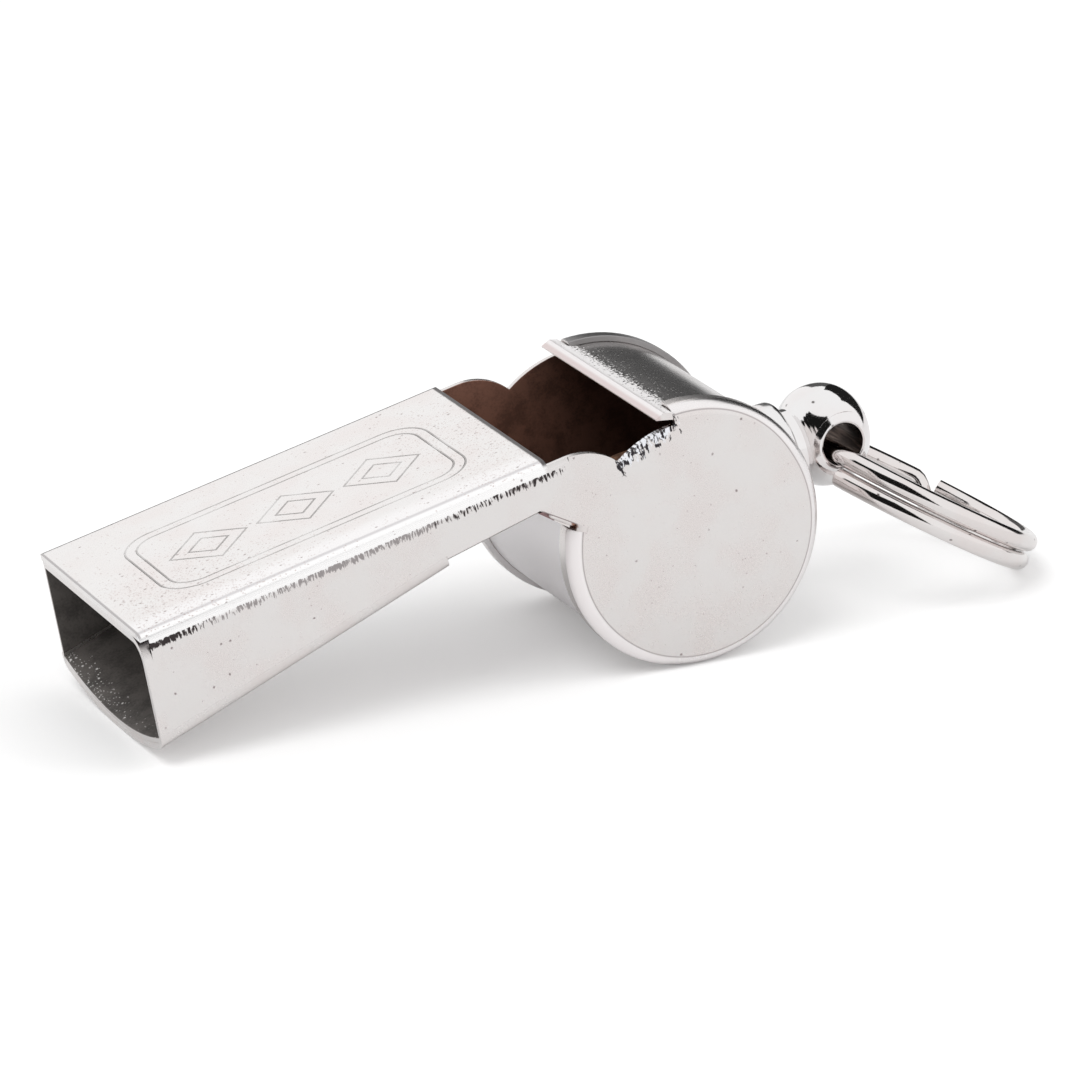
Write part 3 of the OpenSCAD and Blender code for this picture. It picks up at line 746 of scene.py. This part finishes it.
def turned(bm, profile, steps=128):
    """Spins a profile of (radius, height) in millimetres round Z and closes it."""
    verts = [bm.verts.new((r * MM, 0, h * MM)) for r, h in profile]
    edges = [bm.edges.new(pair) for pair in zip(verts, verts[1:])]
    bmesh.ops.spin(bm, geom=verts + edges, cent=(0, 0, 0), axis=(0, 0, 1), angle=math.tau, steps=steps,
                   use_merge=True)
    bmesh.ops.remove_doubles(bm, verts=bm.verts, dist=1e-7)
    bmesh.ops.recalc_face_normals(bm, faces=bm.faces)


def cutter(name, profile, centre, steps):
    """A turned shape that lies across the whistle at a point, for carve()."""
    bm = bmesh.new()
    turned(bm, profile, steps)
    across = Matrix.Translation(centre) @ Matrix.Rotation(math.radians(90), 4, "X")
    bmesh.ops.transform(bm, matrix=across, verts=bm.verts)
    return linked(name, mesh_of(name, bm))


def carve(bm, tool):
    """Takes the tool's shape out of a bmesh and returns the new bmesh."""
    made = linked("carved", mesh_of("carved", bm))
    cut = made.modifiers.new(tool.name, "BOOLEAN")
    cut.operation = "DIFFERENCE"
    cut.solver = "EXACT"
    cut.object = tool
    result = shape_of(made)
    for gone in (made, tool):
        data = gone.data
        bpy.data.objects.remove(gone)
        bpy.data.meshes.remove(data)
    return result


# ---------------------------------------------------------------- operators

class WHISTLE_OT_sheets(bpy.types.Operator):
    """Dress the sheet-metal pieces: top plate, side plates, barrel band, windway floor and shoe"""
    bl_idname = "whistle.sheets"
    bl_label = "Sheet metal"

    def execute(self, context):
        def seam(p):
            """Between the top plate and the bend, where the surface runs on."""
            return p.y < -8.4 and abs(p.z - WALL_IN) < 0.08 and p.x < WINDOW_X

        def wall_front(p):
            return at_front(p) and abs(p.y) > 9.3

        def shoe_front(p):
            return at_front(p) and (abs(p.y) > 9.3 or p.z < 1.2)

        sheet_piece("top_plate", cover_material(), plain=seam)
        sheet_piece("near_side_plate", near_material(), plain=seam, round_front=wall_front)
        sheet_piece("far_side_plate", far_material(), round_front=wall_front)
        sheet_piece("barrel_band", band_material())
        sheet_piece("windway_floor", floor_material())
        sheet_piece("mouth_shoe", shoe_material(), round_front=shoe_front)
        return {"FINISHED"}


class WHISTLE_OT_solder(bpy.types.Operator):
    """Fill the corners between walls and rims with solder"""
    bl_idname = "whistle.solder"
    bl_label = "Solder"

    def execute(self, context):
        # Section of the fill: radius from the barrel's axis and depth from the wall's outer face
        flat, curl, skin = 8.45, 1.05, 0.02
        wall = WALL_OUT - WALL_IN
        section = [(flat - 0.2, wall), (flat - 0.2, skin)]
        for step in range(8):
            turn = math.radians(5 * step)
            section.append((flat + curl * math.sin(turn), curl + skin - curl * math.cos(turn)))
        section.append((section[-1][0] - 0.1, wall + 0.2))
        fill_from, fill_angle = math.radians(-151), math.radians(4.4)

        # Seam along the wall's slanted lower edge at the throat: a rod with round ends
        seam_from, seam_to, seam_y, seam_r = Vector((-9.7, 0, 5.72)), Vector((-8.15, 0, 4.36)), 9.16, 0.24
        along = seam_to - seam_from
        slant = along.to_track_quat("Z", "Y").to_matrix().to_4x4()
        rod = [(0, -0.1), (seam_r * 0.6, 0.0), (seam_r * 0.9, 0.15), (seam_r, 0.4)]
        rod += [(r, along.length - h) for r, h in reversed(rod)]

        for side, name in ((-1, "near_solder"), (1, "far_solder")):
            bm = bmesh.new()
            turned(bm, rod, 24)
            lie = Matrix.Translation((seam_from + Vector((0, side * seam_y, 0))) * MM) @ slant
            bmesh.ops.transform(bm, matrix=lie, verts=bm.verts)
            seam = set(bm.verts)
            verts = [bm.verts.new((r * MM, side * (WALL_OUT - depth) * MM, 0)) for r, depth in section]
            face = bm.faces.new(verts)
            bmesh.ops.spin(bm, geom=[face], cent=(0, 0, 0), axis=(0, -1, 0), angle=fill_angle, steps=6)
            fill = [vert for vert in bm.verts if vert not in seam]
            bmesh.ops.transform(bm, verts=fill, matrix=Matrix.Rotation(fill_from, 4, "Y"))
            bmesh.ops.transform(bm, verts=bm.verts, matrix=place())
            made = finished(name, bm, solder_material())
            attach(made, "whistle")
        return {"FINISHED"}


class WHISTLE_OT_collar(bpy.types.Operator):
    """Turn the collar that stands on the barrel, with its fine rings"""
    bl_idname = "whistle.collar"
    bl_label = "Stud collar"

    def execute(self, context):
        s = sizes()
        r, neck, barrel = s.collar_d / 2 / MM, s.neck_d / 2 / MM, s.band_r / MM
        foot, groove, top = 7.6, 9.83, 11.24  # heights from the barrel's axis
        profile = [(0, foot), (r, foot)]
        for inset, up in ((0, -0.13), (0.02, -0.07), (0.1, -0.03), (0.1, 0.03), (0.02, 0.07), (0, 0.13)):
            profile.append((r - inset, groove + up))
        for inset, down in ((0, 0.49), (0.04, 0.31), (0.14, 0.16), (0.3, 0.06)):
            profile.append((r - inset, top - down))
        profile += [(neck - 0.1, top), (0, top)]
        bm = bmesh.new()
        turned(bm, profile)
        bmesh.ops.transform(bm, matrix=stud_place(), verts=bm.verts)
        reach = 12
        drum = cutter("drum", [(0, -reach), (barrel, -reach), (barrel, reach), (0, reach)], BARREL, 256)
        made = finished("stud_collar", carve(bm, drum), collar_material())
        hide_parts("stud_base")
        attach(made, "whistle")
        return {"FINISHED"}


class WHISTLE_OT_bead(bpy.types.Operator):
    """Turn the polished bead with its neck and rounded cross hole"""
    bl_idname = "whistle.bead"
    bl_label = "Stud bead"

    def execute(self, context):
        s = sizes()
        r, neck = s.bead_d / 2 / MM, s.neck_d / 2 / MM
        foot, top = 11.1, (HOLE - BARREL).length / MM + s.bead_len / 2 / MM  # heights, as for the collar
        middle, half = (foot + top) / 2, (top - foot) / 2
        power, steps = 2.1, 120  # 2 would be an ellipse
        groove_depth, groove_half = 0.02, 0.09
        profile = [(0, foot)]
        for step in range(1, steps):
            h = -math.cos(math.pi * step / steps)
            radius = r * (1 - abs(h) ** power) ** (1 / power)
            height = middle + half * h
            for groove in (12.1, 12.32, 12.54, 12.76):
                radius -= groove_depth * max(0, 1 - abs(height - groove) / groove_half)
            profile.append((max(radius, neck if h < 0 else 0), height))
        profile.append((0, top))
        bm = bmesh.new()
        turned(bm, profile, 160)
        bmesh.ops.transform(bm, matrix=stud_place(), verts=bm.verts)
        made = finished("stud_bead", carve(bm, self.drill(r)), stud_material(), math.radians(24))
        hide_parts("ring_stud")
        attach(made, "whistle")
        return {"FINISHED"}

    def drill(self, r):
        """A cutter for the cross hole of a bead of radius r, with ends that flare out to its surface."""
        bore, flare = sizes().hole_d / 2 / MM, 0.22
        ball, past = r - 0.2, 0.5  # the sphere that the flares touch, and how far the cutter goes on
        out = bore + flare
        up = math.sqrt((ball - flare) ** 2 - out ** 2)
        slope = math.atan2(out, up)
        last, steps = math.pi / 2 + slope, 12
        rounded = []
        for step in range(steps + 1):
            turn = last * step / steps
            rounded.append((out - flare * math.cos(turn), up + flare * math.sin(turn)))
        end_r, end_h = rounded[-1]
        rounded.append((end_r + past, end_h - past * math.tan(slope)))
        shape = [(0, -r * 2), (end_r + past, -r * 2)] + [(x, -h) for x, h in reversed(rounded)]
        shape += rounded + [(end_r + past, r * 2), (0, r * 2)]
        return cutter("drill", shape, HOLE, 96)


class WHISTLE_OT_ring(bpy.types.Operator):
    """Wind the split ring of round wire through the cross hole"""
    bl_idname = "whistle.ring"
    bl_label = "Split ring"

    def execute(self, context):
        wire = linked("split_ring_wire", self.winding())
        bm = shape_of(wire)
        curve = wire.data
        bpy.data.objects.remove(wire)
        bpy.data.curves.remove(curve)
        bmesh.ops.remove_doubles(bm, verts=bm.verts, dist=1e-7)
        sharp = math.radians(40)
        made = finished("split_ring_coils", bm, wire_material(), sharp)
        bevel = made.modifiers.new("cut ends", "BEVEL")
        bevel.width = 0.06 * MM
        bevel.segments = 2
        bevel.limit_method = "ANGLE"
        bevel.angle_limit = sharp
        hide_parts("split_ring")
        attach(made, "ring")
        return {"FINISHED"}

    def winding(self):
        """The wire's curve: two flat turns, joined by a short climb from the one to the other."""
        s = sizes()
        coil = (s.ring_d - s.wire_d) / 2
        hang = s.bead_d ** 2 / (16 * coil)  # half the coil's bow across the bead
        start, end = s.ring_start, math.tau + s.ring_end
        climb_from, climb_to = s.ring_end - math.radians(1), s.ring_end + math.radians(12)
        curve = bpy.data.curves.new("split_ring_wire", "CURVE")
        curve.dimensions = "3D"
        curve.bevel_depth = s.wire_d / 2
        curve.bevel_resolution = 7
        curve.use_fill_caps = True
        spline = curve.splines.new("POLY")
        count = 320
        spline.points.add(count - 1)
        tip = Matrix.Translation(HOLE) @ Matrix.Rotation(s.ring_dip, 4, "Y")
        for i in range(count):
            at = start + (end - start) * i / (count - 1)
            t = min(1, max(0, (at - climb_from) / (climb_to - climb_from)))
            rise = s.ring_pitch * (t * t * (3 - 2 * t) - 0.5) - s.ring_drop
            point = tip @ Vector((coil * (1 - math.cos(at)) - hang, -coil * math.sin(at), rise))
            spline.points[i].co = (*point, 1)
        return curve


class WHISTLE_OT_pea(bpy.types.Operator):
    """Shape the lumpy cork pea that lies in the barrel"""
    bl_idname = "whistle.pea"
    bl_label = "Cork pea"

    def execute(self, context):
        low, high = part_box("cork_pea")
        centre, radius = (low + high) / 2, (high.x - low.x) / 2
        bm = bmesh.new()
        bmesh.ops.create_icosphere(bm, subdivisions=6, radius=radius)
        for vert in bm.verts:
            way = vert.co.normalized()
            lump = noise.fractal(way * 3.1, 0.8, 2.1, 4) + 0.6 * noise.noise(way * 9.0)
            vert.co -= way * sizes().pea_lumps * min(1.6, max(0.0, 0.8 + lump))  # inwards only
        bmesh.ops.translate(bm, vec=centre, verts=bm.verts)
        made = finished("cork_pea_ball", bm, cork_material(), math.radians(60))
        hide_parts("cork_pea")
        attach(made, "pea")
        return {"FINISHED"}


class WHISTLE_OT_stage(bpy.types.Operator):
    """Set the floor, the soft lights, the cards that the metal mirrors, and the camera"""
    bl_idname = "whistle.stage"
    bl_label = "Stage"

    def execute(self, context):
        scene = context.scene
        scene.view_settings.view_transform = "Standard"
        self.world(scene)
        self.floor()
        self.card("grey_card", side=25.5, up=13, width=15, height=32, shade=0.10)
        self.card("black_card", side=56, up=20, width=46, height=50, shade=0.015)
        self.card("front_card", side=-133, up=29, width=90, height=56, shade=0.01)
        self.lamp("key", (-0.35, -0.25, 0.75), size=0.55, power=2.2)
        self.lamp("fill", (0.55, -0.35, 0.55), size=0.6, power=0.95)
        self.camera(scene)
        return {"FINISHED"}

    def world(self, scene):
        """White all round for the camera and the mirrors, dimmer as a light."""
        world = bpy.data.worlds.new("white tent")
        t = shader_tree(world)
        path = t.node("ShaderNodeLightPath").outputs
        seen = t.most(path["Is Camera Ray"], path["Is Glossy Ray"], path["Is Transmission Ray"])
        soft = t.node("ShaderNodeBackground", (1, 1, 1, 1), 0.72)
        white = t.node("ShaderNodeBackground", (1, 1, 1, 1), 1.0)
        both = t.node("ShaderNodeMixShader", seen, soft.outputs[0], white.outputs[0])
        t.show(both, "ShaderNodeOutputWorld")
        scene.world = world

    def floor(self):
        """The wide pale surface that the whistle lies on, a little brighter to the camera."""
        bm = bmesh.new()
        bmesh.ops.create_grid(bm, x_segments=1, y_segments=1, size=4)
        material = bpy.data.materials.new("pale floor")
        t = shader_tree(material)
        seen = t.node("ShaderNodeLightPath").outputs["Is Camera Ray"]
        t.show(t.node("ShaderNodeBsdfPrincipled", sockets={
            "Base Color": (0.9, 0.9, 0.9, 1), "Roughness": 1.0, "Specular IOR Level": 0.0,
            "Emission Color": (1, 1, 1, 1), "Emission Strength": t.multiply(seen, 0.2)}))
        made = finished("floor", bm, material)

    def card(self, name, side, up, width, height, shade):
        """A curved card that only mirrors see, round the whistle; angles in degrees, side from +Y to +X."""
        bm = bmesh.new()
        distance, steps = 0.6, 12
        foot = math.radians(up - height / 2)
        low = bm.verts.new((0, distance * math.cos(foot), distance * math.sin(foot)))
        bmesh.ops.spin(bm, geom=[low], cent=(0, 0, 0), axis=(1, 0, 0), angle=math.radians(height),
                       steps=steps)
        bmesh.ops.spin(bm, geom=bm.verts[:] + bm.edges[:], cent=(0, 0, 0), axis=(0, 0, 1),
                       angle=math.radians(width), steps=steps)
        turn = Matrix.Rotation(math.radians(-side - width / 2), 4, "Z")
        bmesh.ops.transform(bm, matrix=Matrix.Translation(BARREL) @ turn, verts=bm.verts)
        material = bpy.data.materials.new(name)
        t = shader_tree(material)
        t.show(t.node("ShaderNodeEmission", (shade, shade, shade, 1), 1.0))
        made = finished(name, bm, material)
        made.visible_camera = False
        made.visible_diffuse = False
        made.visible_shadow = False
        made.visible_transmission = False

    def lamp(self, name, at, size, power):
        """A round lamp that shines at the barrel and that no mirror shows."""
        light = bpy.data.lights.new(name, "AREA")
        light.shape = "DISK"
        light.size = size
        light.energy = power
        lamp = linked(name, light)
        lamp.location = at
        lamp.rotation_euler = (BARREL - Vector(at)).to_track_quat("-Z", "Y").to_euler()
        lamp.visible_glossy = False

    def camera(self, scene):
        data = bpy.data.cameras.new("camera")
        data.sensor_width = 36
        data.lens = sizes().lens
        data.clip_start, data.clip_end = 0.01, 20
        camera = linked("camera", data)
        eye = Vector((-0.181828, -0.419233, 0.167425))
        aim = Vector((-0.002217, 0.000306, 0.007810))
        roll = math.radians(-2.4688)
        look = (aim - eye).to_track_quat("-Z", "Y").to_matrix().to_4x4()
        camera.matrix_world = Matrix.Translation(eye) @ look @ Matrix.Rotation(roll, 4, "Z")
        scene.camera = camera


class WHISTLE_PT_parts(bpy.types.Panel):
    """Lists the whistle's pieces and their settings"""
    bl_idname = "WHISTLE_PT_parts"
    bl_label = "Pea Whistle"
    bl_space_type = "VIEW_3D"
    bl_region_type = "UI"
    bl_category = "Whistle"

    def draw(self, context):
        layout = self.layout
        for settings in (context.scene.whistle_sizes, context.scene.whistle_finish):
            box = layout.box()
            for name in settings.__annotations__:
                box.prop(settings, name)
        for operator in OPERATORS:
            layout.operator(operator.bl_idname)


OPERATORS = (WHISTLE_OT_sheets, WHISTLE_OT_solder, WHISTLE_OT_collar, WHISTLE_OT_bead, WHISTLE_OT_ring,
             WHISTLE_OT_pea, WHISTLE_OT_stage)
CLASSES = (WhistleSizes, WhistleFinish, *OPERATORS, WHISTLE_PT_parts)


def register():
    for cls in CLASSES:
        bpy.utils.register_class(cls)
    bpy.types.Scene.whistle_sizes = PointerProperty(type=WhistleSizes)
    bpy.types.Scene.whistle_finish = PointerProperty(type=WhistleFinish)


def unregister():
    del bpy.types.Scene.whistle_finish
    del bpy.types.Scene.whistle_sizes
    for cls in reversed(CLASSES):
        bpy.utils.unregister_class(cls)


def main():
    register()
    bpy.ops.whistle.sheets()
    bpy.ops.whistle.solder()
    bpy.ops.whistle.collar()
    bpy.ops.whistle.bead()
    bpy.ops.whistle.ring()
    bpy.ops.whistle.pea()
    bpy.ops.whistle.stage()


if __name__ == "__main__":
    main()
